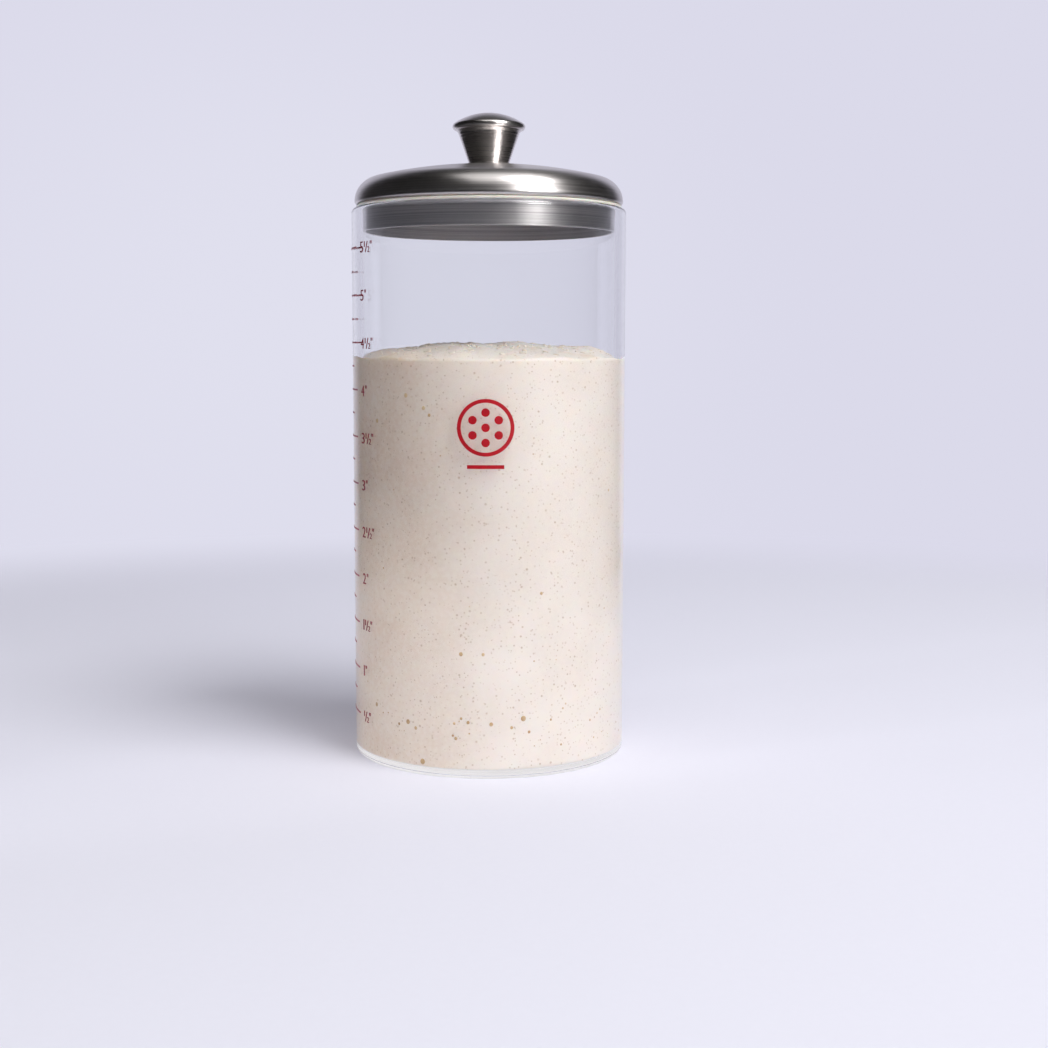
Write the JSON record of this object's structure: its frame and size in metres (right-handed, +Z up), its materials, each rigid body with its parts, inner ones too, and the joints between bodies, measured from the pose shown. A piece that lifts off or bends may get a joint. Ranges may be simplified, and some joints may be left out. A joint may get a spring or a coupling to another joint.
{
  "type": "sourdough starter jar",
  "caption": "Straight glass jar of sourdough starter with a printed inch scale and a domed steel lid that drops into the rim by a collar and has a flared knob.",
  "frame": {"origin": "centre of the jar's base, on the surface it stands on", "axes": "+Z up along the jar's axis, -Y towards the front with the printed motif, the inch scale on the -X side"},
  "size_m": [0.0755, 0.0755, 0.1767],
  "materials": {
    "glass": "clear, polished",
    "starter": "wet risen dough with small bubbles",
    "print": "fired red enamel",
    "silicone": "translucent, satin",
    "collar_steel": "brushed round the ring",
    "lid_steel": "satin, spun",
    "knob_steel": "turned, satin",
    "core_brass": "turned",
    "fastener_steel": "plain zinc-bright"
  },
  "bodies": {
    "jar": {"glass_jar": "glass", "sourdough_starter": "starter", "scale_marks": "print", "front_motif": "print"},
    "seal": {"rim_seal": "silicone"},
    "lid": {"lid_collar": "collar_steel", "lid_dome": "lid_steel", "knob_cone": "knob_steel", "knob_core": "core_brass", "knob_cap": "knob_steel", "flat_washer": "fastener_steel", "lock_washer": "fastener_steel", "knob_screw": "fastener_steel"}
  },
  "joints": [
    {"name": "lid_lift", "type": "slide", "parent": "jar", "child": "seal", "axis": [0, 0, 1], "range_m": [0, 0.06]},
    {"name": "lid_turn", "type": "hinge", "parent": "seal", "child": "lid", "pos_m": [0, 0, 0.1516], "axis": [0, 0, 1], "continuous": true}
  ]
}
